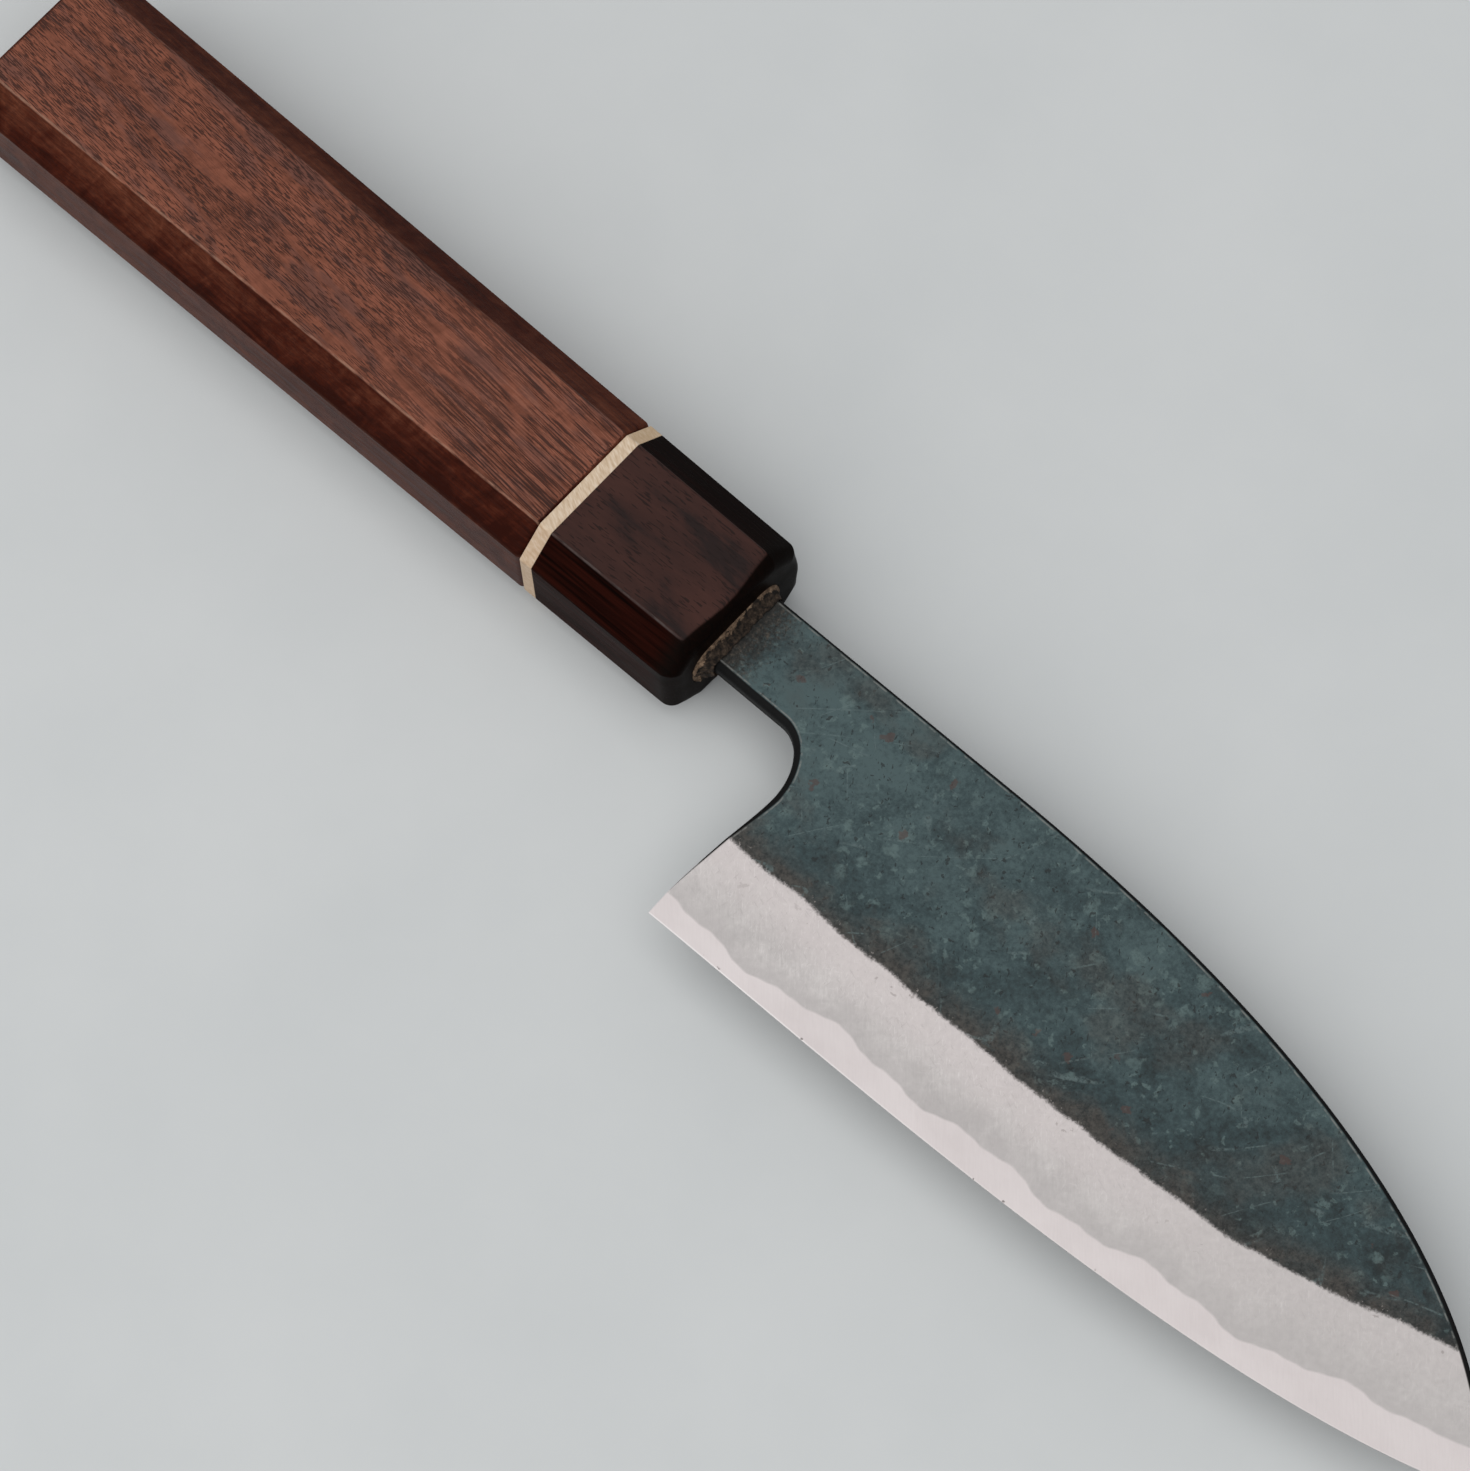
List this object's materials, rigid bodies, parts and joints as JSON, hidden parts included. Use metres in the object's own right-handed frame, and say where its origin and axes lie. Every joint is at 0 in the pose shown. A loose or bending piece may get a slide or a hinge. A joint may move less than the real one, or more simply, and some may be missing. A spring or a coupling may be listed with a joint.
{
  "type": "santoku knife",
  "caption": "Small kitchen knife with a laminated, forge-dark blade and bright ground bevel, and an eight-sided walnut handle with a pale ring and dark ferrule.",
  "frame": {"origin": "under the middle of the bounding box, on the surface that the knife's left side lies on", "axes": "+X along the handle towards the tip, +Y towards the spine, +Z out of the blade's right-hand side"},
  "size_m": [0.2538, 0.0462, 0.0175],
  "materials": {
    "core_steel": "satin",
    "forged_iron": "matte",
    "walnut": "satin",
    "maple": "satin",
    "rosewood": "satin",
    "beech": "matte",
    "putty": "matte"
  },
  "bodies": {
    "root": {"core_steel": "core_steel", "cladding_right": "forged_iron", "cladding_left": "forged_iron", "handle_body": "walnut", "spacer_ring": "maple", "ferrule": "rosewood", "handle_tenon": "beech", "mouth_filler": "putty"}
  },
  "joints": []
}
